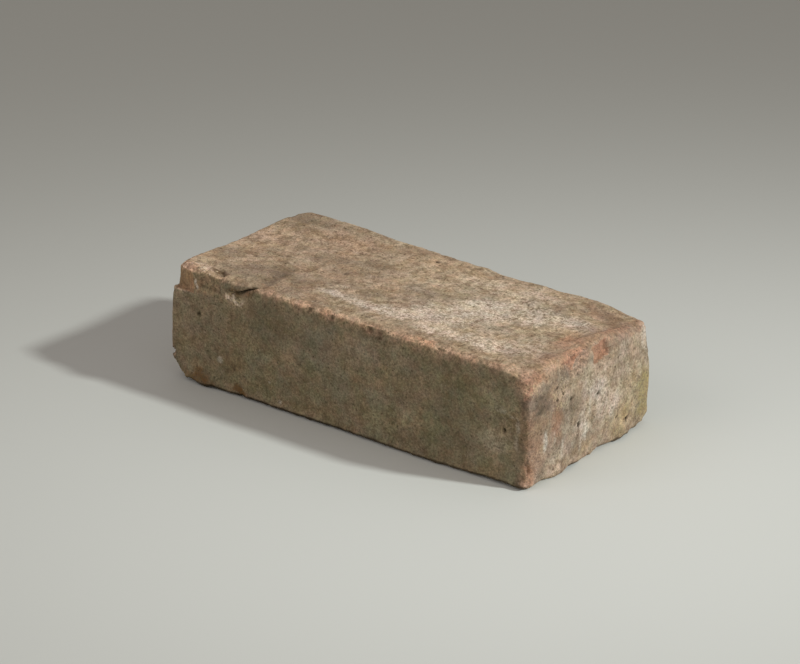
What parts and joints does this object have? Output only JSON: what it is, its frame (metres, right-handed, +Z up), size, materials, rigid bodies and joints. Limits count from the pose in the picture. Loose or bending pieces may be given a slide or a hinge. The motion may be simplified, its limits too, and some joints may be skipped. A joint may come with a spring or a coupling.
{
  "type": "clay brick",
  "caption": "Weathered hand-moulded solid clay brick with rounded, chipped arrises and a struck top bed, for laying in mortar in walls and paving.",
  "frame": {"origin": "under the middle of the brick, on the lower bed it lies on", "axes": "+X along the length towards the header with the red spalled arris, +Y across the width towards the back stretcher, +Z up through the struck bed"},
  "size_m": [0.2154, 0.1016, 0.0599],
  "materials": {
    "fired_clay": "rough, matt, weathered"
  },
  "bodies": {
    "root": {"brick": "fired_clay"}
  },
  "joints": []
}
